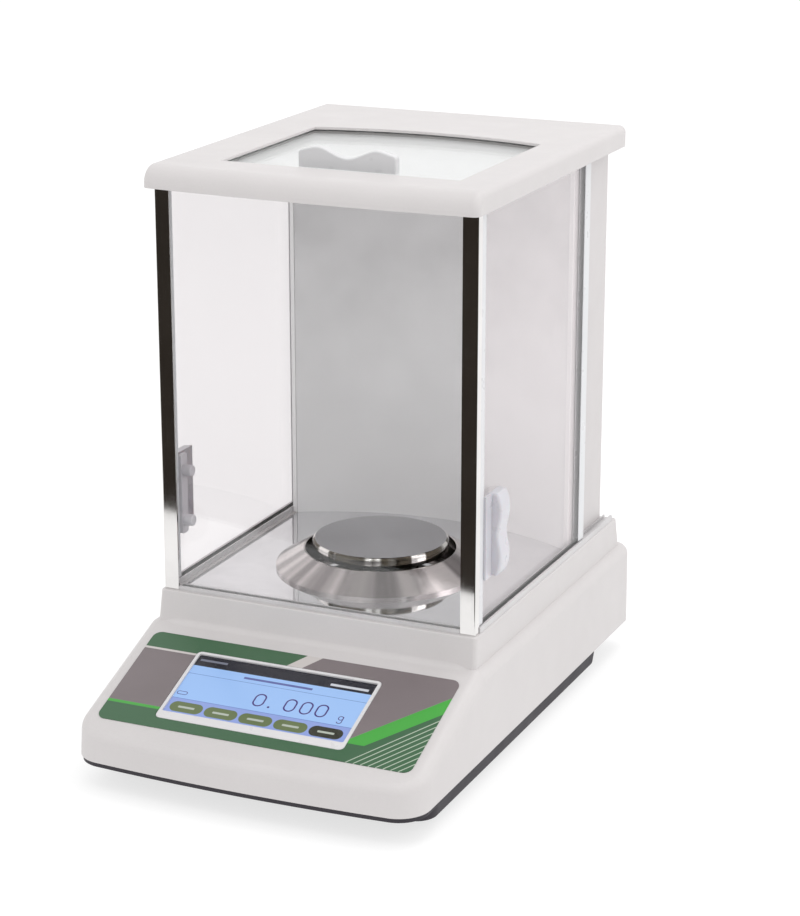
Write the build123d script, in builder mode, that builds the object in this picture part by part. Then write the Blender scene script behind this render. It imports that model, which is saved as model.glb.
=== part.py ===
"""Analytical balance with a glass draft chamber, a sloping front panel and a round pan.

Millimetres, +Z up, X to the right, Y from the front to the back. The origin is on the
surface that the feet stand on, under the middle of the case.
"""

import math
import os

from build123d import *

os.makedirs("parts", exist_ok=True)

# ---- driving dimensions ----------------------------------------------------------------
case_depth = 337.0
case_half = 104.0  # half width of the case at its bottom edge
case_half_top = 103.6  # half width of the case at its shoulder
case_wall = 3.0
front_bow = 4.5  # how far the middle of the front stands ahead of its corners
front_corner = 18.0
rear_corner = 8.0
slope_edge_round = 6.5
shoulder_round = 5.0
ledge_round = 1.0
plinth_corner = 2.5
plinth_foot_z = 60.0
plinth_lean = 3.4
cove_sizes = ((-93.5, 0.1), (-86, 1), (86, 1), (93.5, 0.1))
screw_r = 1.4
screw_head_r = 2.9
display_corner = 3.0

foot_height = 6.0
lip_z = 14.2  # underside of the thin front lip of the base
case_z = 17.0  # bottom edge of the case
shoulder_z = 67.4
ledge_z = 85.0  # top of the plinth that carries the draft chamber
slope_foot_z = 33.9  # where the sloping panel meets the front wall

ledge_half = 97.5
ledge_front_y = -70.2
ledge_back_y = 157.4
ledge_draft = 1.9  # how far the plinth's front wall leans out by the shoulder

roof_z = 318.1  # underside of the roof
roof_top_z = 330.4
roof_half = 99.1
roof_front_y = -75.8
roof_back_y = 151.0
roof_bow = 3.5
roof_nose = 10.0  # rounding of the roof's front edge
roof_side_round = 4.0
roof_wall = 2.2
roof_slab = 1.6

post_half = 96.0
post_front_y = -68.0
post_leg = 9.0
post_return = 5.5
post_sheet = 1.2

glass = 3.0
door_inner_x = 92.0
door_front_y = -62.2
door_back_y = 103.0

column_half = 91.0
column_front_y = 87.5
column_back_y = 147.6
column_wall = 2.5
panel_half = 88.3
panel_sagitta = 24.0
panel_sheet = 1.5

pan_y = 19.2
pan_r = 40.0
pan_top_z = 102.3
pan_rim = 6.3
ring_r = 61.5
ring_inner_r = 45.2
ring_top_z = 96.2

floor_sheet = 1.0
floor_z = ledge_z - 0.2  # top of the mirror sheet, just under the plinth's edge

case_front_y = -case_depth / 2
case_back_y = case_depth / 2
corner_front_y = case_front_y + front_bow
slope_top_y = ledge_front_y - ledge_draft
slope_foot_y = -162.0
slope_run = slope_top_y - slope_foot_y
slope_drop = shoulder_z - slope_foot_z
slope_rate = slope_drop / slope_run
fine = 0.2  # gap between flat pieces that slide or drop in

SIDES = (("left", -1), ("right", 1))


def write(piece, name):
    """Labels a finished piece and writes its STEP file."""
    piece.part.label = name
    export_step(piece.part, f"parts/{name}.step")


def slope_z(y):
    """Height of the sloping panel's outer face at a depth y."""
    return shoulder_z - (slope_top_y - y) * slope_rate


def slope_plane(y, lift=0.0):
    """Plane on the sloping panel, its X to the right and its Z out of the panel."""
    flat = Plane(origin=(0, y, slope_z(y)), x_dir=(1, 0, 0), z_dir=(0, -slope_drop, slope_run))
    return flat.offset(lift)


def case_outline(z, half, front_y, back_y, bow, front_r, back_r):
    """Plan of the case at a height z: bowed front, straight sides, rounded corners."""
    with BuildSketch(Plane.XY.offset(z)) as plan:
        with BuildLine():
            ThreePointArc((-half, front_y), (0, front_y - bow), (half, front_y))
            Polyline((half, front_y), (half, back_y), (-half, back_y), (-half, front_y))
        make_face()
        corners = plan.vertices().group_by(Axis.Y)
        fillet(corners[0], front_r)
        fillet(plan.vertices().group_by(Axis.Y)[-1], back_r)
    return plan.sketch


def plinth_outline(z, side, front, back):
    """Plan of the plinth at a height z, grown by the lean of its walls."""
    with BuildSketch(Plane.XY.offset(z)) as plan:
        with Locations((0, (ledge_front_y - front + ledge_back_y + back) / 2)):
            Rectangle(2 * (ledge_half + side), ledge_back_y + back - ledge_front_y + front)
        fillet(plan.vertices(), plinth_corner)
    return plan.sketch


def cove_section(x, size):
    """Slice of the soft inner corner at x, the plinth's foot scaled by size."""
    lean = Vector(0, plinth_lean, ledge_z - plinth_foot_z).normalized()
    fall = Vector(0, -slope_run, -slope_drop).normalized()
    out = (lean + fall).normalized()
    half_angle = lean.get_angle(fall) / 2
    foot = Vector(x, slope_top_y - 0.5, slope_z(slope_top_y - 0.5))
    reach = size * shoulder_round / math.tan(math.radians(half_angle))
    crown = size * shoulder_round * (1 / math.sin(math.radians(half_angle)) - 1)
    with BuildSketch(Plane.YZ.offset(x)) as slice_:
        with BuildLine():
            up, mid, down, inside = (
                (p.Y, p.Z)
                for p in (
                    foot + lean * reach,
                    foot + out * crown,
                    foot + fall * reach,
                    foot - out * 1.5,
                )
            )
            ThreePointArc(up, mid, down)
            Polyline(down, inside, up)
        make_face()
    return slice_.sketch


def box(x0, x1, y0, y1, z0, z1, mode=Mode.ADD):
    """Box between two corners."""
    with BuildSketch(Plane.XY.offset(z0)) as plan:
        with Locations(((x0 + x1) / 2, (y0 + y1) / 2)):
            Rectangle(x1 - x0, y1 - y0)
    extrude(plan.sketch, amount=z1 - z0, mode=mode)


def post(x, y, z0, z1, r, mode=Mode.ADD):
    """Upright cylinder between two heights."""
    with BuildSketch(Plane.XY.offset(z0)) as plan:
        with Locations((x, y)):
            Circle(r)
    extrude(plan.sketch, amount=z1 - z0, mode=mode)


# ---- case ------------------------------------------------------------------------------
stem_hole_r = 13.0
display_x = -4.8
display_y = -118.3
display_wide = 113.7
display_tall = 56.0
recess_half = 88.7
recess_front_y = -62.4
recess_back_y = 114.0
boss_places = ((-86, 138), (86, 138), (-84, -128), (84, -128))
boss_r = 4.5
connector_x = 42.0
connector_z = 40.0
connector_wide = 78.0
connector_tall = 24.0

# The hollow inside the case, open at the bottom.
low_core = case_outline(
    case_z,
    case_half - case_wall,
    corner_front_y + case_wall,
    case_back_y - case_wall,
    front_bow,
    front_corner - case_wall,
    rear_corner - case_wall,
)
high_core = case_outline(
    shoulder_z - case_wall,
    case_half_top - case_wall - 2.0,
    corner_front_y + 5 + case_wall,
    case_back_y - case_wall,
    front_bow,
    front_corner - case_wall,
    rear_corner - case_wall,
)
core_top_y = slope_top_y + 1
core_drop = slope_z(core_top_y) - (case_wall / slope_plane(0).z_dir.Z)
with BuildPart() as core:
    loft([low_core, high_core], ruled=True)
    with BuildSketch(Plane.YZ):
        with BuildLine():
            Polyline(
                (core_top_y, core_drop),
                (core_top_y - 140, core_drop - 140 * slope_rate),
                (core_top_y - 140, shoulder_z + 20),
                (core_top_y, shoulder_z + 20),
                close=True,
            )
        make_face()
    extrude(amount=case_half + 10, both=True, mode=Mode.SUBTRACT)
    box(
        -ledge_half + 4,
        ledge_half - 4,
        ledge_front_y + 3,
        ledge_back_y - 3,
        shoulder_z - 12,
        ledge_z - case_wall,
    )

with BuildPart() as housing:
    # Lower body, which flares slightly towards the bottom.
    low = case_outline(
        case_z, case_half, corner_front_y, case_back_y, front_bow, front_corner, rear_corner
    )
    high = case_outline(
        shoulder_z,
        case_half_top,
        corner_front_y + 5,
        case_back_y,
        front_bow,
        front_corner,
        rear_corner,
    )
    loft([low, high], ruled=True)
    with BuildSketch(Plane.YZ):
        with BuildLine():
            Polyline(
                (slope_top_y, shoulder_z),
                (slope_top_y - 140, slope_z(slope_top_y - 140)),
                (slope_top_y - 140, shoulder_z + 20),
                (slope_top_y, shoulder_z + 20),
                close=True,
            )
        make_face()
    extrude(amount=case_half + 10, both=True, mode=Mode.SUBTRACT)
    slope_face = housing.faces().filter_by(lambda f: abs(f.normal_at().Y) > 0.2 and f.normal_at().Z > 0.5)
    roof_face = housing.faces().sort_by(Axis.Z)[-1]
    crease = slope_face.edges().sort_by(Axis.Z)[-1]
    rim = [
        e
        for e in slope_face.edges() + roof_face.edges()
        if (e.center() - crease.center()).length > 0.01
    ]
    fillet(rim, slope_edge_round)
    # Plinth under the draft chamber.
    low_plinth = plinth_outline(plinth_foot_z, 1.3, plinth_lean, 3.6)
    high_plinth = plinth_outline(ledge_z, 0, 0, 0)
    loft([low_plinth, high_plinth], ruled=True)
    # Soft inner corner where the panel runs into the plinth, fading out at both ends.
    sections = [cove_section(x, size) for x, size in cove_sizes]
    loft(sections, ruled=True)
    fillet(housing.edges().group_by(Axis.Z)[-1], ledge_round)
    add(core.part, mode=Mode.SUBTRACT)
    # Bosses that take the base screws, cut to the shell's inside.
    for x, y in boss_places:
        boss_top_z = ledge_z - 2.5 if y > slope_top_y else slope_z(y) - 1.8
        post(x, y, case_z + 6, boss_top_z, boss_r)
    for x, y in boss_places:
        post(x, y, case_z + 6, case_z + 20, screw_r + fine, mode=Mode.SUBTRACT)
    # Recess for the mirror floor, the hole for the pan's stem and the floor's screws.
    box(
        -recess_half,
        recess_half,
        recess_front_y,
        recess_back_y,
        floor_z - floor_sheet,
        ledge_z + 1,
        mode=Mode.SUBTRACT,
    )
    post(0, pan_y, ledge_z - 10, ledge_z + 1, stem_hole_r, mode=Mode.SUBTRACT)
    # Window for the display, cut square to the sloping panel.
    with BuildSketch(slope_plane(display_y, 10)):
        with Locations((display_x, 0)):
            RectangleRounded(display_wide + 2 * fine, display_tall + 2 * fine, display_corner + fine)
    extrude(amount=-20, mode=Mode.SUBTRACT)
    # Opening for the connector plate in the rear wall.
    box(
        connector_x - connector_wide / 2 + 4,
        connector_x + connector_wide / 2 - 4,
        case_back_y - case_wall - 1,
        case_back_y + 1,
        connector_z - connector_tall / 2 + 3,
        connector_z + connector_tall / 2 - 3,
        mode=Mode.SUBTRACT,
    )

write(housing, "top_housing")

# ---- base ------------------------------------------------------------------------------
tub_half = 101.6
tub_front_y = -142.8
tub_back_y = 119.0
tub_wall = 2.5
lip_back_y = -60.0
foot_places = ((-78, 75), (78, 75))
front_foot_places = ((-78, -116), (78, -116))
wheel_r = 14.0
pocket_r = 15.2
pocket_z = 12.4
insert_r = 6.0
thread_r = 4.0

with BuildPart() as base:
    # Front lip that closes the case, then the flange inside the case.
    lip = case_outline(
        lip_z, case_half - 1, corner_front_y + 1, case_back_y - 40, front_bow, front_corner - 1, 4
    )
    extrude(lip, amount=case_z - lip_z)
    box(-case_half, case_half, lip_back_y, case_back_y, lip_z, case_z, mode=Mode.SUBTRACT)
    flange = case_outline(
        case_z,
        case_half - case_wall - 0.6,
        corner_front_y + case_wall + 0.4,
        case_back_y - case_wall - 0.4,
        front_bow,
        front_corner - case_wall,
        rear_corner - case_wall,
    )
    extrude(flange, amount=tub_wall)
    # Deep tub that hangs below the case and leans in at its back.
    with BuildSketch(Plane.XY.offset(case_z)) as tub_top:
        with Locations((0, (tub_front_y + tub_back_y + 3) / 2)):
            RectangleRounded(2 * tub_half, tub_back_y + 3 - tub_front_y, 12)
    with BuildSketch(Plane.XY.offset(foot_height)) as tub_bottom:
        with Locations((0, (tub_front_y + tub_back_y) / 2)):
            RectangleRounded(2 * tub_half - 1.6, tub_back_y - tub_front_y, 12)
    loft([tub_bottom.sketch, tub_top.sketch], ruled=True)
    fillet(base.edges().group_by(Axis.Z)[0], 1.2)
    box(
        -tub_half + 4,
        tub_half - 4,
        tub_front_y + 4,
        tub_back_y - 3,
        foot_height + tub_wall,
        case_z + tub_wall + 1,
        mode=Mode.SUBTRACT,
    )
    for x, y in foot_places:
        post(x, y, foot_height, pocket_z + tub_wall, pocket_r + 2)
        post(x, y, pocket_z, pocket_z + 14, insert_r + 2.5)
        post(x, y, foot_height - 1, pocket_z, pocket_r, mode=Mode.SUBTRACT)
        post(x, y, pocket_z - 1, pocket_z + 15, insert_r, mode=Mode.SUBTRACT)
    for x, y in boss_places:
        post(x, y, foot_height - 1, case_z + 5, screw_r + fine, mode=Mode.SUBTRACT)

write(base, "base_tub")

with BuildPart() as inserts:
    for x, y in foot_places:
        post(x, y, pocket_z, pocket_z + 13.5, insert_r)
        post(x, y, pocket_z - 1, pocket_z + 14, thread_r + 0.05, mode=Mode.SUBTRACT)

write(inserts, "foot_inserts")

with BuildPart() as screws:
    for x, y in boss_places:
        head_z = lip_z if y < lip_back_y else case_z
        post(x, y, head_z, case_z + 18, screw_r)
        post(x, y, head_z - 2, head_z, screw_head_r)

write(screws, "base_screws")

# Two fixed rubber feet at the front and two levelling feet at the back.
foot_r = 11.0
pad_height = 3.4
wheel_z = 3.6
wheel_top_z = 11.4
knurls = 24

with BuildPart() as front_feet:
    for x, y in front_foot_places:
        post(x, y, 0, foot_height, foot_r)
    fillet(front_feet.edges().group_by(Axis.Z)[0], 1)

write(front_feet, "front_feet")

for (side, sign), (x, y) in zip(SIDES, foot_places):
    with BuildPart() as pad:
        post(x, y, 0, pad_height, foot_r)
        fillet(pad.edges().group_by(Axis.Z)[0], 1)
        post(x, y, pad_height - 1.2, pad_height + 1, 5.2, mode=Mode.SUBTRACT)
    write(pad, f"{side}_foot_pad")

    with BuildPart() as wheel:
        post(x, y, wheel_z, wheel_top_z, wheel_r)
        with BuildSketch(Plane.XY.offset(wheel_z)):
            with Locations((x, y)):
                with PolarLocations(wheel_r + 0.4, knurls):
                    Circle(1)
        extrude(amount=wheel_top_z - wheel_z, mode=Mode.SUBTRACT)
        post(x, y, pad_height - 1, wheel_z, 5)
        post(x, y, wheel_top_z, wheel_top_z + 17, thread_r)
    write(wheel, f"{side}_foot_screw")

# ---- mirror floor, posts, front glass and rails -------------------------------------------
with BuildPart() as mirror_floor:
    box(
        -recess_half + fine,
        recess_half - fine,
        recess_front_y + fine,
        recess_back_y - fine,
        floor_z - floor_sheet,
        floor_z,
    )
    post(0, pan_y, ledge_z - 3, ledge_z + 1, stem_hole_r, mode=Mode.SUBTRACT)

write(mirror_floor, "chamber_floor")

for side, sign in SIDES:
    with BuildPart() as angle:
        with BuildSketch(Plane.XY.offset(ledge_z)):
            with BuildLine():
                Polyline(
                    (sign * post_half, post_front_y),
                    (sign * (post_half - post_leg), post_front_y),
                    (sign * (post_half - post_leg), post_front_y + post_sheet),
                    (sign * (post_half - post_sheet), post_front_y + post_sheet),
                    (sign * (post_half - post_sheet), post_front_y + post_return),
                    (sign * post_half, post_front_y + post_return),
                    close=True,
                )
            make_face()
        extrude(amount=roof_z - ledge_z)
        corner = angle.edges().filter_by(Axis.Z).group_by(Axis.Y)[0].sort_by(Axis.X)
        fillet(corner[-1] if sign > 0 else corner[0], 0.8)
    write(angle, f"front_{side}_post")

channel_height = 2.4
with BuildPart() as pane:
    box(
        -post_half + 1.4,
        post_half - 1.4,
        post_front_y + 1.4,
        post_front_y + 1.4 + glass,
        ledge_z + 0.8,
        roof_z - fine,
    )
    fillet(pane.edges().filter_by(Axis.Z), 0.4)

write(pane, "front_glass")

with BuildPart() as channel:
    inner = post_half - post_leg - fine
    box(-inner, inner, post_front_y, post_front_y + 5.4, ledge_z, ledge_z + channel_height)
    box(
        -inner,
        inner,
        post_front_y + 1.4,
        post_front_y + 1.4 + glass,
        ledge_z + 0.8,
        ledge_z + channel_height,
        mode=Mode.SUBTRACT,
    )

write(channel, "front_glass_channel")

rail_inner_x = 91.2
rail_outer_x = 96.6
rail_back_y = 151.0
rail_height = 3.4
groove = 3.4
groove_x = door_inner_x - (groove - glass) / 2

for side, sign in SIDES:
    with BuildPart() as floor_rail:
        box(
            *sorted((sign * rail_inner_x, sign * rail_outer_x)),
            post_front_y + post_return + fine,
            rail_back_y,
            ledge_z,
            ledge_z + rail_height,
        )
        box(
            *sorted((sign * groove_x, sign * (groove_x + groove))),
            post_front_y,
            rail_back_y + 1,
            ledge_z + 1.4,
            ledge_z + rail_height,
            mode=Mode.SUBTRACT,
        )
    write(floor_rail, f"{side}_floor_rail")

    with BuildPart() as roof_rail:
        box(
            *sorted((sign * rail_inner_x, sign * rail_outer_x)),
            post_front_y,
            roof_back_y - roof_wall - 2,
            roof_z + fine,
            roof_z + 6.2,
        )
        box(
            *sorted((sign * groove_x, sign * (groove_x + groove))),
            post_front_y - 1,
            roof_back_y,
            roof_z,
            roof_z + 4.6,
            mode=Mode.SUBTRACT,
        )
    write(roof_rail, f"{side}_roof_rail")

# ---- roof ------------------------------------------------------------------------------
opening_half = 71.0
opening_front_y = -44.8
opening_back_y = 73.0
opening_bulge = 10.4
top_shift = 4.4  # the top door sits a little to the right of the middle
liner_top_z = 325.2
top_glass_z = liner_top_z + fine
top_glass_half = 80.0
top_glass_front_y = -56.0
top_glass_back_y = 100.0


def opening_sketch(z, grow):
    """Plan of the roof opening: straight front and sides, back edge curved outwards."""
    with BuildSketch(Plane.XY.offset(z)) as plan:
        left = top_shift - opening_half - grow
        right = top_shift + opening_half + grow
        back = opening_back_y + grow
        with BuildLine():
            ThreePointArc((right, back), (top_shift, back + opening_bulge), (left, back))
            Polyline(
                (left, back),
                (left, opening_front_y - grow),
                (right, opening_front_y - grow),
                (right, back),
            )
        make_face()
    return plan.sketch


def roof_block(inset, top_z, nose, side_round):
    """Block with a bowed front, a big rounding along its front edge and soft sides."""
    half = roof_half - inset
    front = roof_front_y + inset
    back = roof_back_y - inset
    with BuildPart() as block:
        with BuildSketch(Plane.XY.offset(roof_z)) as plan:
            with BuildLine():
                ThreePointArc((-half, front), (0, front - roof_bow), (half, front))
                Polyline((half, front), (half, back), (-half, back), (-half, front))
            make_face()
        extrude(plan.sketch, amount=top_z - roof_z)
        fillet(block.edges().group_by(Axis.Z)[-1].sort_by(Axis.Y)[0], nose)
        flanks = block.faces().sort_by(Axis.X)
        soft = [
            e
            for flank in (flanks[0], flanks[-1])
            for e in flank.edges()
            if e.center().Z > roof_z + 0.01 and e.center().Y < back - 0.01
        ]
        fillet(soft, side_round)
    return block.part


with BuildPart() as roof:
    add(roof_block(0, roof_top_z, roof_nose, roof_side_round))
    add(
        roof_block(roof_wall, roof_top_z - roof_slab, roof_nose - 2, roof_side_round - 2),
        mode=Mode.SUBTRACT,
    )
    extrude(opening_sketch(roof_top_z + 1, 0), amount=-6, mode=Mode.SUBTRACT)
    lip_edges = roof.edges().filter_by_position(Axis.Z, roof_top_z - 0.01, roof_top_z + 0.01)
    inner_lip = [e for e in lip_edges if abs(e.center().X - top_shift) < opening_half + 1]
    inner_lip = [e for e in inner_lip if opening_front_y - 1 < e.center().Y < opening_back_y + 11]
    fillet(inner_lip, 0.5)
    # Slots in the back wall for the three sliding panes.
    box(
        top_shift - top_glass_half - 0.6,
        top_shift + top_glass_half + 0.6,
        roof_back_y - 5,
        roof_back_y + 1,
        liner_top_z,
        roof_top_z - roof_slab,
        mode=Mode.SUBTRACT,
    )
    for side, sign in SIDES:
        box(
            *sorted((sign * (door_inner_x - 0.8), sign * (door_inner_x + glass + 0.8))),
            roof_back_y - 5,
            roof_back_y + 1,
            roof_z - 1,
            roof_z + 4.8,
            mode=Mode.SUBTRACT,
        )

write(roof, "roof_frame")

liner_half = rail_inner_x - fine
with BuildPart() as liner:
    box(
        -liner_half,
        liner_half,
        post_front_y + 6,
        roof_back_y - roof_wall - fine,
        roof_z,
        liner_top_z,
    )
    extrude(opening_sketch(roof_z - 1, -2), amount=8, mode=Mode.SUBTRACT)
    for side, sign in SIDES:
        box(
            *sorted(top_shift + sign * (top_glass_half + reach) for reach in (0.4, 3)),
            top_glass_front_y,
            roof_back_y - roof_wall - fine,
            liner_top_z,
            roof_top_z - roof_slab - 0.1,
        )

write(liner, "roof_liner")

# ---- rear column and curved back panel ----------------------------------------------------
level_y = 139.6
level_r = 6.0
notch_half = 11.0
notch_height = 20.0

with BuildPart() as column:
    box(-column_half, column_half, column_front_y, column_back_y, ledge_z, roof_z)
    fillet(column.edges().filter_by(Axis.Z).group_by(Axis.Y)[-1], 4)
    box(
        -column_half + column_wall,
        column_half - column_wall,
        column_front_y - 1,
        column_back_y - column_wall,
        ledge_z,
        roof_z,
        mode=Mode.SUBTRACT,
    )
    # Notch at the foot of the back wall, where the level is read.
    box(
        -notch_half,
        notch_half,
        column_back_y - 5,
        column_back_y + 1,
        ledge_z,
        ledge_z + notch_height,
        mode=Mode.SUBTRACT,
    )

write(column, "rear_column")

with BuildPart() as panel:
    edge_y = column_front_y + 0.5
    with BuildSketch(Plane.XY.offset(floor_z)):
        with BuildLine():
            ThreePointArc((-panel_half, edge_y), (0, edge_y + panel_sagitta), (panel_half, edge_y))
            Line((panel_half, edge_y), (panel_half, edge_y + panel_sheet))
            ThreePointArc(
                (panel_half, edge_y + panel_sheet),
                (0, edge_y + panel_sagitta + panel_sheet),
                (-panel_half, edge_y + panel_sheet),
            )
            Line((-panel_half, edge_y + panel_sheet), (-panel_half, edge_y))
        make_face()
    extrude(amount=roof_z - floor_z)

write(panel, "back_panel")

with BuildPart() as level:
    post(0, level_y, ledge_z, ledge_z + 6, level_r + 1.6)
    post(0, level_y, ledge_z + 1, ledge_z + 7, level_r, mode=Mode.SUBTRACT)

write(level, "level_housing")

with BuildPart() as vial:
    post(0, level_y, ledge_z + 1, ledge_z + 5.6, level_r - 0.1)

write(vial, "level_vial")

# ---- side doors ------------------------------------------------------------------------
door_bottom_z = ledge_z + 1.6
runner_top_z = door_bottom_z + 1.6
door_top_z = roof_z + 4.2
profile_proud = 0.5
front_profile_width = 6.0
back_profile_width = 8.5
profile_bottom_z = ledge_z + rail_height + 0.6
profile_top_z = roof_z - 0.6
grip_z = 137.2
grip_length = 47.4
grip_front_y = -47.6
grip_depth = 14.0
grip_reach = 7.2
grip_round = 1.6
flange_front_y = -56.0
flange_sheet = 1.8


def grip_wave(z0, sign, base_x):
    """Side outline of a finger grip: two swells with a waist between them."""
    half = grip_length / 2
    swell = grip_reach
    waist = grip_reach - 1.8
    with BuildLine() as outline:
        Polyline(
            (base_x, z0 - half),
            (base_x + sign * (swell - 2.5), z0 - half),
        )
        Spline(
            (base_x + sign * (swell - 2.5), z0 - half),
            (base_x + sign * swell, z0 - half * 0.62),
            (base_x + sign * (swell - 0.4), z0 - half * 0.36),
            (base_x + sign * waist, z0),
            (base_x + sign * (swell - 0.4), z0 + half * 0.36),
            (base_x + sign * swell, z0 + half * 0.62),
            (base_x + sign * (swell - 2.5), z0 + half),
        )
        Polyline(
            (base_x + sign * (swell - 2.5), z0 + half),
            (base_x, z0 + half),
            (base_x, z0 - half),
        )
    return outline.edges()


plate_front_y = -56.0
plate_depth = 7.0
plate_bottom_z = 114.5
plate_top_z = 161.5
plate_sheet = 2.0
knob_y = -52.6
knob_zs = (122.5, 152.0)
knob_r = 3.3

for side, sign in SIDES:
    inner_x = sign * door_inner_x
    outer_x = sign * (door_inner_x + glass)

    with BuildPart() as door:
        box(
            *sorted((inner_x, outer_x)),
            door_front_y + 1,
            door_back_y - 1,
            runner_top_z,
            door_top_z,
        )
        fillet(door.edges().filter_by(Axis.Z), 0.5)
        for z in knob_zs:
            with BuildSketch(Plane.YZ.offset(sign * (door_inner_x - 1))):
                with Locations((knob_y, z)):
                    Circle(2.2)
            extrude(amount=sign * 5, mode=Mode.SUBTRACT)
    write(door, f"{side}_door_glass")

    with BuildPart() as runner:
        box(
            *sorted((inner_x, outer_x)),
            door_front_y + 1,
            door_back_y - 1,
            door_bottom_z,
            runner_top_z,
        )
    write(runner, f"{side}_door_runner")

    for end, y0, y1 in (
        ("front", door_front_y, door_front_y + front_profile_width),
        ("back", door_back_y - back_profile_width, door_back_y),
    ):
        with BuildPart() as profile:
            box(
                *sorted((inner_x - sign * profile_proud, outer_x + sign * profile_proud)),
                y0,
                y1,
                profile_bottom_z,
                profile_top_z,
            )
            fillet(profile.edges().filter_by(Axis.Z), 0.3)
            box(
                *sorted((inner_x, outer_x)),
                door_front_y + 1,
                door_back_y - 1,
                profile_bottom_z,
                profile_top_z,
                mode=Mode.SUBTRACT,
            )
        write(profile, f"{side}_door_{end}_profile")

    with BuildPart() as grip:
        # Block with a wavy outer face, on a thin flange that takes the screws.
        with BuildSketch(Plane.XZ.offset(-grip_front_y)):
            make_face(grip_wave(grip_z, sign, outer_x))
        extrude(amount=-grip_depth)
        soft = [e for e in grip.edges() if abs(e.center().X - outer_x) > 1]
        fillet(soft, grip_round)
        box(
            *sorted((outer_x, outer_x + sign * flange_sheet)),
            flange_front_y,
            grip_front_y + grip_depth,
            grip_z - grip_length / 2,
            grip_z + grip_length / 2,
        )
    write(grip, f"{side}_door_grip")

    with BuildPart() as plate:
        box(
            *sorted((inner_x, inner_x - sign * plate_sheet)),
            plate_front_y,
            plate_front_y + plate_depth,
            plate_bottom_z,
            plate_top_z,
        )
        fillet(plate.edges().filter_by(Axis.X), 1.5)
    write(plate, f"{side}_door_plate")

    with BuildPart() as knobs:
        for z in knob_zs:
            with BuildSketch(Plane.YZ.offset(inner_x - sign * plate_sheet)):
                with Locations((knob_y, z)):
                    Circle(knob_r)
            extrude(amount=-sign * 5.6)
        fillet(knobs.edges().group_by(Axis.X)[-1 if sign < 0 else 0], 0.8)
    write(knobs, f"{side}_door_screws")

# ---- top door --------------------------------------------------------------------------
with BuildPart() as top_door:
    box(
        top_shift - top_glass_half,
        top_shift + top_glass_half,
        top_glass_front_y,
        top_glass_back_y,
        top_glass_z,
        top_glass_z + glass,
    )
    fillet(top_door.edges().filter_by(Axis.Z), 3)

write(top_door, "top_door_glass")

handle_y = -34.0
handle_half = 29.2
handle_depth = 5.6
handle_high = 11.8
handle_end = 9.4
handle_dip = 5.4
handle_z = top_glass_z + glass

with BuildPart() as handle:
    # Thin plate whose top edge has two humps.
    with BuildSketch(Plane.XZ.offset(-handle_y)):
        with BuildLine():
            left = top_shift - handle_half
            right = top_shift + handle_half
            shoulder = handle_z + handle_end
            peak = handle_z + handle_high
            Spline(
                (left, shoulder),
                (top_shift - handle_half * 0.8, peak - 1),
                (top_shift - handle_half * 0.6, peak),
                (top_shift - handle_half * 0.4, peak - 1.6),
                (top_shift, peak - handle_dip),
                (top_shift + handle_half * 0.4, peak - 1.6),
                (top_shift + handle_half * 0.6, peak),
                (top_shift + handle_half * 0.8, peak - 1),
                (right, shoulder),
            )
            Polyline((right, shoulder), (right, handle_z), (left, handle_z), (left, shoulder))
        make_face()
    extrude(amount=-handle_depth)
    top_corners = [e for e in handle.edges().filter_by(Axis.Y) if e.center().Z > handle_z + 1]
    fillet(top_corners, 2.5)
    outline = [e for e in handle.edges() if e.center().Z > handle_z + 0.1]
    outline = [e for e in outline if abs(e.center().Y - handle_y - handle_depth / 2) > 1]
    fillet(outline, 1)

write(handle, "top_door_handle")

# ---- pan, draft ring and the parts that carry the load --------------------------------------
pan_plane = Plane.XZ.offset(-pan_y)
pan_axis = Axis((0, pan_y, 0), (0, 0, 1))
stem_r = 5.0
socket_r = stem_r + 0.05
pan_sheet = 1.0
pan_edge = 2.0
seat_z = pan_top_z - 1.6  # where the stem's end carries the pan
socket_foot_z = pan_top_z - 9.0

with BuildPart() as pan:
    with BuildSketch(pan_plane):
        with BuildLine():
            Line((0, pan_top_z), (pan_r - pan_edge, pan_top_z))
            RadiusArc((pan_r - pan_edge, pan_top_z), (pan_r, pan_top_z - pan_edge), pan_edge)
            Polyline(
                (pan_r, pan_top_z - pan_edge),
                (pan_r, pan_top_z - pan_rim),
                (pan_r - pan_sheet, pan_top_z - pan_rim),
                (pan_r - pan_sheet, pan_top_z - pan_edge),
                (pan_r - pan_edge, pan_top_z - pan_sheet),
                (socket_r + 3, pan_top_z - pan_sheet),
                (socket_r + 2, socket_foot_z),
                (socket_r, socket_foot_z),
                (socket_r, seat_z),
                (0, seat_z),
                (0, pan_top_z),
            )
        make_face()
    revolve(axis=pan_axis)

write(pan, "weighing_pan")

ring_sheet = 0.9
ring_lip = 1.6

with BuildPart() as ring:
    with BuildSketch(pan_plane):
        with BuildLine():
            Polyline(
                (ring_r, floor_z),
                (ring_r, floor_z + ring_lip),
                (ring_inner_r, ring_top_z),
                (ring_inner_r - ring_sheet, ring_top_z),
                (ring_inner_r - ring_sheet, ring_top_z - 6),
                (ring_inner_r, ring_top_z - 6),
                (ring_inner_r, ring_top_z - 1.3),
                (ring_r - ring_sheet, floor_z + ring_lip - 0.6),
                (ring_r - ring_sheet, floor_z),
                close=True,
            )
        make_face()
    revolve(axis=pan_axis)

write(ring, "draft_ring")

hanger_top_z = 66.0
hanger_foot_z = 40.0
hanger_half = 8.0
collar_z = 90.0

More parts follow.
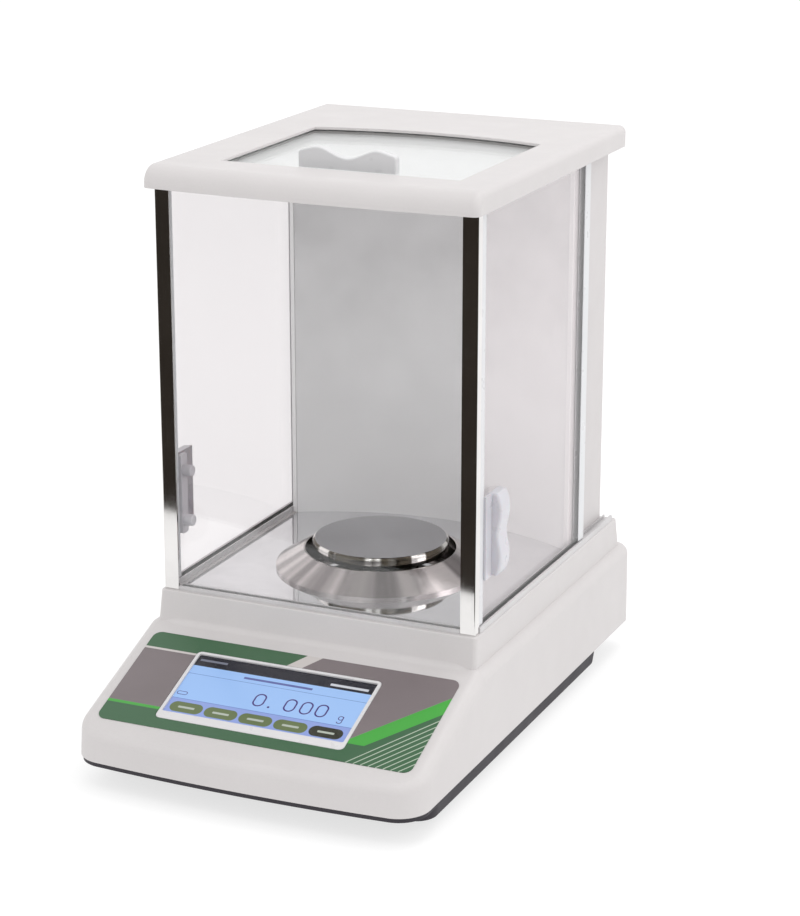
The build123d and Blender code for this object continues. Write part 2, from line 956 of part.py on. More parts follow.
with BuildPart() as support:
    with BuildSketch(pan_plane):
        with BuildLine():
            Polyline(
                (0, hanger_top_z),
                (stem_r + 2, hanger_top_z),
                (stem_r + 2, hanger_top_z + 8),
                (stem_r + 0.6, hanger_top_z + 10),
                (stem_r + 0.6, collar_z - 2),
                (stem_r + 4, collar_z),
                (stem_r + 4, collar_z + 1.5),
                (stem_r, collar_z + 1.5),
                (stem_r, seat_z),
                (0, seat_z),
                (0, hanger_top_z),
            )
        make_face()
    revolve(axis=pan_axis)

write(support, "pan_stem")

with BuildPart() as hanger:
    box(
        -hanger_half,
        hanger_half,
        pan_y - hanger_half,
        pan_y + hanger_half,
        hanger_foot_z,
        hanger_top_z,
    )
    fillet(hanger.edges().filter_by(Axis.Z), 1.5)
    box(
        -hanger_half - 1,
        hanger_half + 1,
        pan_y - 3,
        pan_y + 3,
        hanger_foot_z + 6,
        hanger_top_z - 6,
        mode=Mode.SUBTRACT,
    )

write(hanger, "load_hanger")

# ---- weighing cell: frame, magnet, lever with its coil, guide plates ------------------------
cell_half = 21.0
cell_front_y = -82.0
cell_back_y = 44.0
cell_foot_z = foot_height + tub_wall
lever_z = 53.0
pivot_y = -4.0
coil_y = -52.0
magnet_r = 20.0
gap_inner_r = 10.0
gap_outer_r = 14.6
coil_inner_r = 11.4
coil_outer_r = 13.0
magnet_top_z = 44.0
magnet_foot_z = cell_foot_z + 6.0

with BuildPart() as cell:
    box(-cell_half, cell_half, cell_front_y, cell_back_y, cell_foot_z, cell_foot_z + 6)
    # Upright at the back, cheeks beside the lever's pivot, and a plate to hold the guides.
    box(-cell_half, cell_half, cell_back_y - 9, cell_back_y, cell_foot_z, 66)
    for side, sign in SIDES:
        box(
            *sorted((sign * 11, sign * cell_half)),
            pivot_y - 8,
            pivot_y + 8,
            cell_foot_z,
            66,
        )
    fillet(cell.edges().filter_by(Axis.Z).group_by(Axis.Y)[0], 4)
    # Bearings for the pivot pin.
    with BuildSketch(Plane.YZ):
        with Locations((pivot_y, lever_z)):
            Circle(2.05)
    extrude(amount=cell_half + 1, both=True, mode=Mode.SUBTRACT)

write(cell, "cell_frame")

with BuildPart() as magnet:
    post(0, coil_y, magnet_foot_z, magnet_top_z, magnet_r)
    post(0, coil_y, magnet_foot_z + 5, magnet_top_z, gap_outer_r, mode=Mode.SUBTRACT)
    post(0, coil_y, magnet_foot_z + 5, magnet_top_z - 1, gap_inner_r)

write(magnet, "magnet_pot")

coil_foot_z = magnet_top_z - 16.0

with BuildPart() as lever:
    box(-5, 5, coil_y - 3, pan_y - 12, lever_z - 3, lever_z + 3)
    post(0, coil_y, magnet_top_z + 2, lever_z, coil_outer_r - 3)
    post(0, coil_y, coil_foot_z, magnet_top_z + 4, coil_inner_r + 0.5)
    post(0, coil_y, coil_foot_z - 1, magnet_top_z + 2, coil_inner_r, mode=Mode.SUBTRACT)
    with BuildSketch(Plane.YZ):
        with Locations((pivot_y, lever_z)):
            Circle(2.0)
    extrude(amount=cell_half - 2, both=True)

write(lever, "balance_lever")

with BuildPart() as coil:
    post(0, coil_y, coil_foot_z + 1, magnet_top_z - 3, coil_outer_r)
    post(0, coil_y, coil_foot_z, magnet_top_z - 2, coil_inner_r + 0.5, mode=Mode.SUBTRACT)

write(coil, "force_coil")

guide_sheet = 0.8
with BuildPart() as guides:
    for z in (66.0, cell_foot_z + 14):
        y1 = cell_back_y - (0 if z > 60 else 9.2)
        for side, sign in SIDES:
            box(
                *sorted((sign * (hanger_half + 2), sign * (cell_half - 1))),
                pivot_y + (-8 if z > 60 else 8.2),
                y1,
                z,
                z + guide_sheet,
            )

write(guides, "guide_plates")

with BuildPart() as sensor:
    box(-14, 14, coil_y - 26, coil_y - 24.4, cell_foot_z + 6, 58)
    box(-4, 4, coil_y - 24.4, coil_y - 20.4, lever_z - 6, lever_z - 4)

write(sensor, "position_sensor")

# ---- boards, display and controls ----------------------------------------------------------
display_plane = slope_plane(display_y)
bezel_rim = 2.0
bezel_foot = 5.6  # the frame is wider along its lower side
bezel_proud = 0.6
bezel_depth = 1.6
window_sheet = 1.2
overlay_half = 94.2
overlay_top_y = -82.2
overlay_bottom_y = -151.9
overlay_sheet = 0.4
overlay_corner = 5.0

overlay_mid_y = (overlay_top_y + overlay_bottom_y) / 2
slope_length = (slope_drop**2 + slope_run**2) ** 0.5
overlay_tall = (overlay_top_y - overlay_bottom_y) * slope_length / slope_run
display_shift = (display_y - overlay_mid_y) * slope_length / slope_run
screen_wide = display_wide - 2 * bezel_rim
screen_tall = display_tall - bezel_rim - bezel_foot
screen_shift = (bezel_foot - bezel_rim) / 2

with BuildPart() as overlay:
    with BuildSketch(slope_plane(overlay_mid_y)):
        RectangleRounded(2 * overlay_half, overlay_tall, overlay_corner)
        with Locations((display_x, display_shift)):
            RectangleRounded(
                display_wide + 2 * fine,
                display_tall + 2 * fine,
                display_corner + fine,
                mode=Mode.SUBTRACT,
            )
    extrude(amount=overlay_sheet)

write(overlay, "control_overlay")

with BuildPart() as bezel:
    with BuildSketch(display_plane.offset(-bezel_depth)):
        with Locations((display_x, 0)):
            RectangleRounded(display_wide, display_tall, display_corner)
    extrude(amount=bezel_depth + bezel_proud)
    fillet(bezel.faces().sort_by(Axis(display_plane.origin, display_plane.z_dir))[-1].edges(), 0.4)
    with BuildSketch(display_plane.offset(bezel_proud)):
        with Locations((display_x, screen_shift)):
            RectangleRounded(screen_wide, screen_tall, 1)
    extrude(amount=-bezel_depth - bezel_proud, mode=Mode.SUBTRACT)

write(bezel, "display_bezel")

with BuildPart() as window:
    with BuildSketch(display_plane.offset(-bezel_depth)):
        with Locations((display_x, screen_shift)):
            RectangleRounded(screen_wide - fine, screen_tall - fine, 0.9)
    extrude(amount=window_sheet)

write(window, "display_window")

module_top = -case_wall - 0.4
with BuildPart() as module:
    with BuildSketch(display_plane.offset(module_top)):
        with Locations((display_x, 0)):
            Rectangle(display_wide + 4, display_tall + 1)
    extrude(amount=-5)

write(module, "lcd_module")

with BuildPart() as display_board:
    with BuildSketch(display_plane.offset(module_top - 6)):
        with Locations((display_x, 0)):
            Rectangle(display_wide + 12, display_tall - 2)
        with Locations((display_x, 0)):
            with GridLocations(display_wide + 6, display_tall - 8, 2, 2):
                Circle(1.6, mode=Mode.SUBTRACT)
    extrude(amount=-1.6)
    with BuildSketch(display_plane.offset(module_top - 7.6)):
        with Locations((display_x - 20, 4)):
            Rectangle(12, 12)
        with Locations((display_x + 22, -6)):
            Rectangle(18, 5)
        with Locations((display_x + 4, 12)):
            Rectangle(7, 5)
    extrude(amount=-1.4)

write(display_board, "display_board")

board_z = cell_foot_z + 6.0
with BuildPart() as main_board:
    box(-94, -28, -60, 50, board_z, board_z + 1.6)
    for x, y, w, d, h in (
        (-72, 26, 14, 14, 1.6),
        (-50, 30, 10, 16, 2),
        (-80, -20, 12, 12, 1.6),
        (-44, -10, 9, 9, 9),
        (-44, -36, 16, 8, 11),
        (-70, -44, 20, 7, 8),
    ):
        box(x - w / 2, x + w / 2, y - d / 2, y + d / 2, board_z + 1.6, board_z + 1.6 + h)
    for x, y in ((-88, 8), (-78, 8), (-68, 2)):
        post(x, y, board_z + 1.6, board_z + 12, 3.6)
    for x, y in ((-91, -57), (-91, 47), (-31, -57), (-31, 47)):
        post(x, y, board_z - 1, board_z + 2, 1.6, mode=Mode.SUBTRACT)
        post(x, y, cell_foot_z, board_z, 3)

write(main_board, "main_board")

with BuildPart() as connector_plate:
    plate_y = case_back_y - case_wall
    box(
        connector_x - connector_wide / 2,
        connector_x + connector_wide / 2,
        plate_y - 1.5,
        plate_y,
        connector_z - connector_tall / 2,
        connector_z + connector_tall / 2,
    )
    jack_x = connector_x - 24
    port_x = connector_x + 10
    port_half = 9.4
    port_high = 4.4
    with BuildSketch(Plane.XZ.offset(-plate_y)):
        with Locations((jack_x, connector_z)):
            Circle(5.2)
        with Locations((port_x, connector_z)):
            RectangleRounded(2 * port_half + 0.8, 2 * port_high + 0.8, 2)
    extrude(amount=4, both=True, mode=Mode.SUBTRACT)

write(connector_plate, "connector_plate")

jack_r = 2.9
jack_depth = 9.0
with BuildPart() as jack:
    with BuildSketch(Plane.XZ.offset(-plate_y - 1.5)):
        with Locations((jack_x, connector_z)):
            Circle(5)
    extrude(amount=14)
    with BuildSketch(Plane.XZ.offset(-plate_y - 1.5)):
        with Locations((jack_x, connector_z)):
            Circle(jack_r)
    extrude(amount=jack_depth, mode=Mode.SUBTRACT)

write(jack, "power_inlet")

pin_r = 0.5
with BuildPart() as serial_port:
    with BuildSketch(Plane.XZ.offset(-plate_y - 2)):
        with Locations((port_x, connector_z)):
            RectangleRounded(2 * port_half, 2 * port_high, 1.8)
    extrude(amount=12)
    with BuildSketch(Plane.XZ.offset(-plate_y - 2)):
        with Locations((port_x, connector_z)):
            RectangleRounded(2 * port_half - 1.2, 2 * port_high - 1.2, 1.3)
        with Locations((port_x, connector_z + 1.3)):
            with GridLocations(2.76, 1, 5, 1):
                Circle(pin_r, mode=Mode.SUBTRACT)
        with Locations((port_x, connector_z - 1.3)):
            with GridLocations(2.76, 1, 4, 1):
                Circle(pin_r, mode=Mode.SUBTRACT)
    extrude(amount=6, mode=Mode.SUBTRACT)

write(serial_port, "serial_port")
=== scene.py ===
"""Looks of an analytical balance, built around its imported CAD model. Lengths are in metres."""

import math

import bpy
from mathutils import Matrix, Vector


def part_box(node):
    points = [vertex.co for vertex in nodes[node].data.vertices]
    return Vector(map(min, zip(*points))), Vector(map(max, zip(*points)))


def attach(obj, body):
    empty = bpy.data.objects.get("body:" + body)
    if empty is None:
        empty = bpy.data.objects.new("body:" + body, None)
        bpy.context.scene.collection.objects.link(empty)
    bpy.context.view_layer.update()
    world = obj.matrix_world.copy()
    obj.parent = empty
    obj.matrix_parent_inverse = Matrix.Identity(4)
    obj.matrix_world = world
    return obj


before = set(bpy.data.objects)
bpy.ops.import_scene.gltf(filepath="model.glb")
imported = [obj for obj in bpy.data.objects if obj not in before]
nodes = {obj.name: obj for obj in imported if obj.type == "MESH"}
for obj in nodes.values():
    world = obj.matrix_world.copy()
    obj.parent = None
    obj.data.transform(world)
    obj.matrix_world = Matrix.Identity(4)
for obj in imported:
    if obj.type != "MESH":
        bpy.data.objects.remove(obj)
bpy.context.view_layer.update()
mm = 0.001


# ---- shader helpers --------------------------------------------------------------------------
class Surface:
    """A material being built, with short names for adding nodes and wiring them up."""

    def __init__(self, name, material=None):
        """Start a new material, or go on with one that is already built."""
        self.material = material or bpy.data.materials.new(name)
        self.material.use_nodes = True
        self.tree = self.material.node_tree
        self.shader = self.tree.nodes["Principled BSDF"]
        self.place = self.add("ShaderNodeTexCoord").outputs["Object"]

    def add(self, kind, **settings):
        node = self.tree.nodes.new(kind)
        for key, value in settings.items():
            setattr(node, key, value)
        return node

    def feed(self, socket, value):
        """Wire a socket to value if it is a socket too, or set it to value."""
        if isinstance(value, bpy.types.NodeSocket):
            self.tree.links.new(value, socket)
        else:
            socket.default_value = value

    def set(self, **values):
        """Set the shader's inputs: base_color="Base Color" and so on."""
        for key, value in values.items():
            name = key.replace("_", " ").title().replace("Ior", "IOR")
            if name in ("Base Color", "Sheen Tint", "Coat Tint", "Emission Color") and not isinstance(
                value, bpy.types.NodeSocket
            ):
                value = (*value, 1.0)
            self.feed(self.shader.inputs[name], value)

    def math(self, operation, a, b=0.0, clamp=False):
        node = self.add("ShaderNodeMath", operation=operation, use_clamp=clamp)
        self.feed(node.inputs[0], a)
        self.feed(node.inputs[1], b)
        return node.outputs[0]

    def vector(self, operation, a, b):
        node = self.add("ShaderNodeVectorMath", operation=operation)
        self.feed(node.inputs[0], a)
        self.feed(node.inputs[1], b)
        return node.outputs["Value" if operation == "DOT_PRODUCT" else "Vector"]

    def spread(self, value, low, high, to_low=0.0, to_high=1.0, smooth=False):
        """value carried from low..high to to_low..to_high, held at both ends."""
        node = self.add("ShaderNodeMapRange", interpolation_type="SMOOTHSTEP" if smooth else "LINEAR")
        for socket, number in zip(node.inputs, (value, low, high, to_low, to_high)):
            self.feed(socket, number)
        return node.outputs[0]

    def noise(self, scale, detail=2.0, rough=0.5, stretch=(1, 1, 1)):
        """Noise with scale cells a metre, drawn out along the axes where stretch is small."""
        node = self.add("ShaderNodeTexNoise")
        node.inputs["Scale"].default_value = scale
        node.inputs["Detail"].default_value = detail
        node.inputs["Roughness"].default_value = rough
        self.feed(node.inputs["Vector"], self.vector("MULTIPLY", self.place, stretch))
        return node.outputs["Fac"]

    def mix(self, share, a, b):
        """Colour a where share is 0 and b where it is 1."""
        node = self.add("ShaderNodeMix", data_type="RGBA")
        self.feed(node.inputs["Factor"], share)
        for name, value in (("A", a), ("B", b)):
            socket = [s for s in node.inputs if s.name == name and s.type == "RGBA"][0]
            self.feed(socket, value if isinstance(value, bpy.types.NodeSocket) else (*value, 1.0))
        return [s for s in node.outputs if s.type == "RGBA"][0]

    def bump(self, height, depth, strength=1.0):
        """Surface relief: height is 0 to 1 over depth metres."""
        node = self.add("ShaderNodeBump")
        node.inputs["Strength"].default_value = strength
        node.inputs["Distance"].default_value = depth
        self.feed(node.inputs["Height"], height)
        self.feed(self.shader.inputs["Normal"], node.outputs["Normal"])

    def normal(self, axis):
        """One part of the surface's own normal, in the model's axes: 0, 1 or 2 for X, Y or Z."""
        source = self.add("ShaderNodeTexCoord").outputs["Normal"]
        node = self.add("ShaderNodeSeparateXYZ")
        self.feed(node.inputs[0], source)
        return node.outputs[axis]

    def along(self, axis):
        """The place along X, Y or Z (0, 1 or 2), in metres."""
        node = self.add("ShaderNodeSeparateXYZ")
        self.feed(node.inputs[0], self.place)
        return node.outputs[axis]


def finish(material, *names):
    """Give CAD nodes a material."""
    for name in names:
        for slot in nodes[name].material_slots:
            slot.material = material


def both(text):
    """The left and right node of a pair."""
    return ["left_" + text, "right_" + text]


# ---- materials -------------------------------------------------------------------------------
def moulded(name, colour, rough, grain=1100, grain_depth=0.02 * mm, gloss=0.5):
    """Moulded plastic with a fine grain, faint cloudiness and uneven gloss."""
    s = Surface(name)
    darker = [c * 0.955 for c in colour]
    cloud = s.noise(14, 3, 0.6)
    speck = s.noise(grain * 0.7, 2, 0.6)
    tone = s.math("ADD", s.math("MULTIPLY", cloud, 0.7), s.math("MULTIPLY", speck, 0.3))
    s.set(
        base_color=s.mix(s.spread(tone, 0.35, 0.65), darker, colour),
        roughness=s.spread(s.noise(60, 3), 0.3, 0.7, rough - 0.05, rough + 0.05),
        specular_ior_level=gloss,
    )
    s.bump(s.noise(grain, 2, 0.6), grain_depth, 0.6)
    return s.material


def smooth_plastic(name, colour, rough, coat=0.0, subsurface=0.0):
    """Glossy moulded plastic with a slight waviness."""
    s = Surface(name)
    darker = [c * 0.96 for c in colour]
    s.set(
        base_color=s.mix(s.spread(s.noise(25, 3, 0.6), 0.35, 0.65), darker, colour),
        roughness=s.spread(s.noise(120, 3), 0.3, 0.7, rough - 0.04, rough + 0.04),
        coat_weight=coat,
        coat_roughness=0.1,
        subsurface_weight=subsurface,
        subsurface_scale=2 * mm,
    )
    s.bump(s.noise(90, 2), 0.05 * mm, 0.25)
    return s.material


def metal(name, colour, rough, stretch=(1, 1, 1), depth=0.004 * mm, spread=0.06, metallic=1.0):
    """Metal brushed along the axis where stretch is small. Even stretch leaves it plain.

    metallic under 1 stands for a pale anodised or lacquered skin.
    """
    s = Surface(name)
    stroke = s.noise(2500, 3, 0.65, stretch)
    stain = s.noise(30, 4, 0.6)
    darker = [c * 0.9 for c in colour]
    s.set(
        base_color=s.mix(s.spread(stain, 0.35, 0.65), darker, colour),
        metallic=metallic,
        roughness=s.math(
            "ADD",
            s.spread(stroke, 0.25, 0.75, rough - spread, rough + spread),
            s.spread(stain, 0.3, 0.7, 0.0, 0.03),
        ),
    )
    s.bump(stroke, depth, 0.5)
    return s.material


def spun(name, dark, light, rough, centre, lobes, sharp, top=None):
    """Stainless steel turned on its axis: fine rings, and dark and light streaks spreading out from the
    axis, which are painted reflections.

    lobes sets how many streaks there are, and sharp how soft their sides are. top is the colour
    of level faces, which are satin and have no streaks.
    """
    s = Surface(name)
    ring_pitch = 0.35 * mm
    offset = s.vector("SUBTRACT", s.place, centre)
    flat = s.vector("MULTIPLY", offset, (1, 1, 0))
    length = s.add("ShaderNodeVectorMath", operation="LENGTH")
    s.feed(length.inputs[0], flat)
    way = s.add("ShaderNodeVectorMath", operation="NORMALIZE")
    s.feed(way.inputs[0], flat)
    painted_reflection_streaks = s.add("ShaderNodeTexNoise")
    painted_reflection_streaks.inputs["Scale"].default_value = lobes
    painted_reflection_streaks.inputs["Detail"].default_value = 2.5
    painted_reflection_streaks.inputs["Roughness"].default_value = 0.6
    s.feed(painted_reflection_streaks.inputs["Vector"], s.vector("ADD", way.outputs["Vector"], (3.7, 1.2, 0)))
    ring_noise = s.add("ShaderNodeTexNoise", noise_dimensions="2D")
    ring_noise.inputs["Scale"].default_value = 1 / ring_pitch
    ring_noise.inputs["Detail"].default_value = 3
    joined = s.add("ShaderNodeCombineXYZ")
    s.feed(joined.inputs[0], length.outputs["Value"])
    s.feed(joined.inputs[1], s.along(2))
    s.feed(ring_noise.inputs["Vector"], joined.outputs[0])
    rings = ring_noise.outputs["Fac"]
    # Painted reflections: dark and light streaks by angle around the axis.
    colour = s.mix(s.spread(painted_reflection_streaks.outputs["Fac"], 0.5 - sharp, 0.5 + sharp, smooth=True), dark, light)
    colour = s.mix(s.spread(rings, 0.3, 0.7, 0.0, 0.12), colour, (0.0, 0.0, 0.0))
    level = s.spread(s.math("ABSOLUTE", s.normal(2)), 0.93, 0.98)
    if top:
        colour = s.mix(level, colour, top)
    s.set(
        base_color=colour,
        metallic=1.0,
        roughness=s.math(
            "ADD",
            s.spread(level, 0, 1, rough, 0.3),
            s.spread(rings, 0.3, 0.7, 0.0, 0.05),
        ),
        anisotropic=0.6,
    )
    s.bump(rings, 0.003 * mm, 0.4)
    tangent = s.add("ShaderNodeTangent", direction_type="RADIAL", axis="Z")
    s.feed(s.shader.inputs["Tangent"], tangent.outputs[0])
    return s.material


def panel_places(s):
    """Places on the sloping panel in millimetres: u to the right, v down from the label's top."""
    low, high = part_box("control_overlay")
    rise = math.atan2(high[2] - low[2], high[1] - low[1])
    across = s.vector("DOT_PRODUCT", s.place, (0, math.cos(rise), math.sin(rise)))
    top = high[1] * math.cos(rise) + high[2] * math.sin(rise)
    return (
        s.math("MULTIPLY", s.along(0), 1000),
        s.math("MULTIPLY", s.math("SUBTRACT", top, across), 1000),
    )


def between(s, value, low, high, soft=0.12):
    """1 where value lies between low and high, 0 outside."""
    rise = s.spread(value, low - soft, low + soft)
    fall = s.spread(value, high - soft, high + soft, 1.0, 0.0)
    return s.math("MULTIPLY", rise, fall)


def pill(s, u, v, centre, half, corner):
    """Distance in millimetres outside a rounded box; negative inside it."""
    parts = []
    for value, middle, reach in zip((u, v), centre, half):
        away = s.math("ABSOLUTE", s.math("SUBTRACT", value, middle))
        parts.append(s.math("MAXIMUM", s.math("SUBTRACT", away, reach - corner), 0.0))
    squares = [s.math("MULTIPLY", part, part) for part in parts]
    return s.math("SUBTRACT", s.math("SQRT", s.math("ADD", *squares)), corner)


def filled(s, distance, soft=0.1):
    """1 inside a shape whose distance is given, 0 outside."""
    return s.spread(distance, -soft, soft, 1.0, 0.0)


def stroked(s, distance, width, soft=0.1):
    """1 on the outline of a shape, over a line of the given width."""
    return filled(s, s.math("SUBTRACT", s.math("ABSOLUTE", distance), width / 2), soft)


far = 400  # beyond every edge of the print, in millimetres


def label_print():
    """Film on the sloping panel with coloured bands, a slanted stripe and hatch lines."""
    dark_green = (0.030, 0.105, 0.042)
    bright_green = (0.045, 0.34, 0.036)
    pale = (0.55, 0.515, 0.50)
    hatch_green = (0.42, 0.50, 0.40)
    # Heights down the label.
    band_foot, strip_foot = 13.0, 14.6
    foot_line, foot_line_end, foot_band = 58.7, 60.7, 60.0
    # Places across the label, each at the height of its top edge, and how slanted lines lean.
    strip_end, band_end, band_strip_end, band_lean = 1, 1.8, 11.1, 0.8
    corner_start, stripe_left, stripe_right, stripe_lean = 115, 108.1, 121.1, 0.973
    hatch_from, hatch_to, hatch_pitch, hatch_share = 34.0, 74.5, 4.9, 0.2
    hatch_middle, hatch_lean = 92.5, 1.13

    s = Surface("label_print")
    u, v = panel_places(s)

    def times(a, b):
        return s.math("MULTIPLY", a, b)

    lean = s.math("ADD", u, times(v, band_lean))
    slant = s.math("ADD", u, times(v, stripe_lean))
    colour = s.mix(s.spread(s.noise(30, 3), 0.3, 0.7), (0.165, 0.137, 0.142), (0.18, 0.15, 0.156))
    # Top band with its slanted right end and the pale strips beside and below it.
    colour = s.mix(times(between(s, v, band_foot, strip_foot), between(s, u, -far, strip_end)), colour, pale)
    top_band = between(s, v, -far, band_foot)
    colour = s.mix(times(between(s, lean, -far, band_end), top_band), colour, dark_green)
    colour = s.mix(times(between(s, lean, band_end, band_strip_end), top_band), colour, pale)
    # Foot of the label and its dark right corner with hatch lines.
    colour = s.mix(between(s, v, foot_band, far), colour, dark_green)
    colour = s.mix(between(s, slant, corner_start, far), colour, dark_green)
    hatch = s.math("ADD", v, times(s.math("SUBTRACT", u, hatch_middle), hatch_lean))
    turn = s.math("FRACT", s.math("DIVIDE", s.math("SUBTRACT", hatch, hatch_from + 0.4), hatch_pitch))
    lines = times(between(s, turn, 0.0, hatch_share, 0.03), between(s, hatch, hatch_from, hatch_to))
    colour = s.mix(times(lines, between(s, slant, stripe_right + 1.9, far)), colour, hatch_green)
    # Bright line along the foot that turns up into the slanted stripe.
    line = times(between(s, v, foot_line, foot_line_end), between(s, slant, -far, stripe_right - 1.1))
    colour = s.mix(line, colour, bright_green)
    stripe = times(between(s, slant, stripe_left, stripe_right), between(s, v, -far, foot_line_end))
    colour = s.mix(stripe, colour, bright_green)
    s.set(base_color=colour, roughness=0.42, coat_weight=0.2, coat_roughness=0.25)
    s.bump(s.noise(2500, 2), 0.008 * mm, 0.4)
    return s.material


def screen_print():
    """Lit display: bars, a reading of noughts and five blank keys behind a glossy window."""
    bezel_drop = 10.1  # from the label's top edge to the frame's, in millimetres
    screen_width = 110

    s = Surface("screen")
    u, v = panel_places(s)
    low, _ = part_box("display_bezel")
    u = s.math("SUBTRACT", u, low[0] * 1000)
    v = s.math("SUBTRACT", v, bezel_drop)
    ink = (0.05, 0.014, 0.15)
    rule = (0.10, 0.16, 0.42)
    top_bar_foot, title_line, key_line = 11.2, 17.9, 38.5

    def paint(colour, share, what):
        return s.mix(share, colour, what)

    def shape(centre, half, corner):
        return pill(s, u, v, centre, half, corner)

    sky = s.mix(s.spread(u, 0, screen_width), (0.30, 0.48, 0.82), (0.32, 0.50, 0.83))
    colour = s.mix(s.spread(v, key_line - 0.1, key_line + 0.1), sky, (0.25, 0.33, 0.66))
    top_bar = s.spread(v, top_bar_foot - 0.1, top_bar_foot + 0.1, 1.0, 0.0)
    colour = paint(colour, top_bar, (0.014, 0.014, 0.022))
    for line in (title_line, key_line):
        colour = paint(colour, between(s, v, line - 0.15, line + 0.15, 0.1), rule)
    # Plain bars for the title and at both ends of the top bar.
    for centre, half, grey in (
        ((56.1, 14.6), (21.0, 0.8), (0.10, 0.12, 0.33)),
        ((96.8, 8.4), (11.5, 0.9), (0.55, 0.57, 0.62)),
        ((12.5, 6.3), (8.5, 0.8), (0.16, 0.17, 0.22)),
    ):
        colour = paint(colour, filled(s, shape(centre, half, 0.4)), grey)
    # The reading, with its point.
    for middle in (51.8, 70.5, 80.1, 89.4):
        colour = paint(colour, stroked(s, shape((middle, 29.6), (3.0, 4.6), 2.95), 0.9), ink)
    colour = paint(colour, filled(s, shape((58.9, 33.8), (0.7, 0.7), 0.65)), ink)
    # Unit mark: a small bowl with a stem and a hook.
    x, y = 102.2, 32.6
    colour = paint(colour, stroked(s, shape((x, y), (1.3, 1.4), 1.25), 0.5), ink)
    colour = paint(colour, filled(s, shape((x + 1.35, y + 1.2), (0.25, 2.4), 0.2)), ink)
    hook = stroked(s, shape((x, y + 2.7), (1.35, 1.4), 1.3), 0.5)
    colour = paint(colour, s.math("MULTIPLY", hook, s.spread(v, y + 3.0, y + 3.2)), ink)
    # Small ring at the left, beside the reading.
    colour = paint(colour, stroked(s, shape((6.2, 34.2), (3.0, 1.2), 1.15), 0.4), ink)
    for number in range(5):
        centre = (14.0 + 21.17 * number, 45.0)
        face = (0.115, 0.155, 0.062) if number < 4 else (0.03, 0.031, 0.02)
        colour = paint(colour, filled(s, shape(centre, (9.9, 4.0), 3.9)), face)
        colour = paint(colour, filled(s, shape(centre, (5.0, 0.75), 0.5)), (0.42, 0.46, 0.40))
    s.set(
        base_color=s.mix(0.5, colour, (0.0, 0.0, 0.0)),
        emission_color=colour,
        emission_strength=0.55,
        roughness=0.16,
        specular_ior_level=0.4,
    )
    return s.material


def pane(name, axis, tint=(0.985, 0.99, 0.99), edge=(0.62, 0.7, 0.68)):
    """Clear float glass whose broad faces look along one axis, with ground edges."""
    glass_ior = 1.5
    s = Surface(name)
    clear = s.add("ShaderNodeBsdfTransparent")
    clear.inputs["Color"].default_value = (*tint, 1)
    sheen = s.add("ShaderNodeBsdfGlossy")
    sheen.inputs["Roughness"].default_value = 0.02
    sheen.inputs["Color"].default_value = (1, 1, 1, 1)
    behind = s.add("ShaderNodeNewGeometry").outputs["Backfacing"]
    fresnel = s.add("ShaderNodeFresnel")
    s.feed(fresnel.inputs["IOR"], s.spread(behind, 0, 1, glass_ior, 1 / glass_ior))
    face = s.add("ShaderNodeMixShader")
    s.feed(face.inputs[0], fresnel.outputs[0])
    s.feed(face.inputs[1], clear.outputs[0])
    s.feed(face.inputs[2], sheen.outputs[0])
    s.set(base_color=edge, roughness=0.35)
    rim = s.add("ShaderNodeMixShader")
    s.feed(rim.inputs[0], s.spread(s.math("ABSOLUTE", s.normal(axis)), 0.6, 0.8))
    s.feed(rim.inputs[1], s.shader.outputs[0])
    s.feed(rim.inputs[2], face.outputs[0])
    out = s.tree.nodes["Material Output"]
    s.feed(out.inputs["Surface"], rim.outputs[0])
    return s.material


def repaint(material, axis, low, high, share):
    """Paint light into a material: mix its colour with white along X, Y or Z, not at all at low and by share
    at high.
    """
    s = Surface(material.name, material)
    socket = s.shader.inputs["Base Color"]
    before = socket.links[0].from_socket
    s.feed(socket, s.mix(s.spread(s.along(axis), low, high, 0.0, share), before, (1.0, 1.0, 1.0)))


def circuit(name, node, over):
    """Level circuit board: green lacquer with tracks, and dark parts that stand on it.

    over is how far the board's bare face lies above the node's lowest point.
    """
    s = Surface(name)
    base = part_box(node)[0][2]
    tracks = s.spread(s.noise(900, 1, 0.4, (1, 0.12, 1)), 0.55, 0.57)
    green = s.mix(tracks, (0.012, 0.085, 0.035), (0.02, 0.15, 0.06))
    parts = s.mix(s.spread(s.noise(45, 0), 0.48, 0.5), (0.02, 0.02, 0.022), (0.10, 0.10, 0.11))
    s.set(
        base_color=s.mix(s.spread(s.along(2), base + over, base + over + 0.1 * mm), green, parts),
        roughness=0.35,
    )
    return s.material


# ---- the CAD nodes' finishes -----------------------------------------------------------------
finish(moulded("case_white", (0.60, 0.575, 0.573), 0.45), "top_housing", "roof_frame")
# Painted light and shade: the column gets a slightly darker copy of the case's white, painted paler where
# the side panes close against it.
column_white_painted_light = moulded("column_white_painted_light", (0.585, 0.558, 0.558), 0.45)
door_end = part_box("right_door_back_profile")[1][1]
repaint(column_white_painted_light, 1, door_end + 0.4 * mm, door_end, 0.75)
finish(column_white_painted_light, "rear_column")
finish(moulded("liner_white", (0.66, 0.655, 0.65), 0.5), "roof_liner")
finish(moulded("tub_grey", (0.03, 0.026, 0.033), 0.55, gloss=0.35), "base_tub")

finish(smooth_plastic("grip_white", (0.57, 0.56, 0.60), 0.3, coat=0.2, subsurface=0.1), *both("door_grip"))
finish(smooth_plastic("handle_white", (0.66, 0.655, 0.665), 0.3, coat=0.2), "top_door_handle")
finish(
    smooth_plastic("profile_white", (0.66, 0.665, 0.68), 0.3),
    *both("door_front_profile"),
    *both("door_back_profile"),
)
finish(
    smooth_plastic("plate_grey", (0.60, 0.57, 0.60), 0.35),
    *both("door_plate"),
    *both("door_screws"),
)
finish(smooth_plastic("bezel_white", (0.68, 0.67, 0.68), 0.3), "display_bezel")

finish(pane("side_glass", 0, tint=(0.975, 0.955, 0.96)), *both("door_glass"))
finish(pane("front_glass", 1), "front_glass")
finish(pane("top_glass", 2), "top_door_glass")

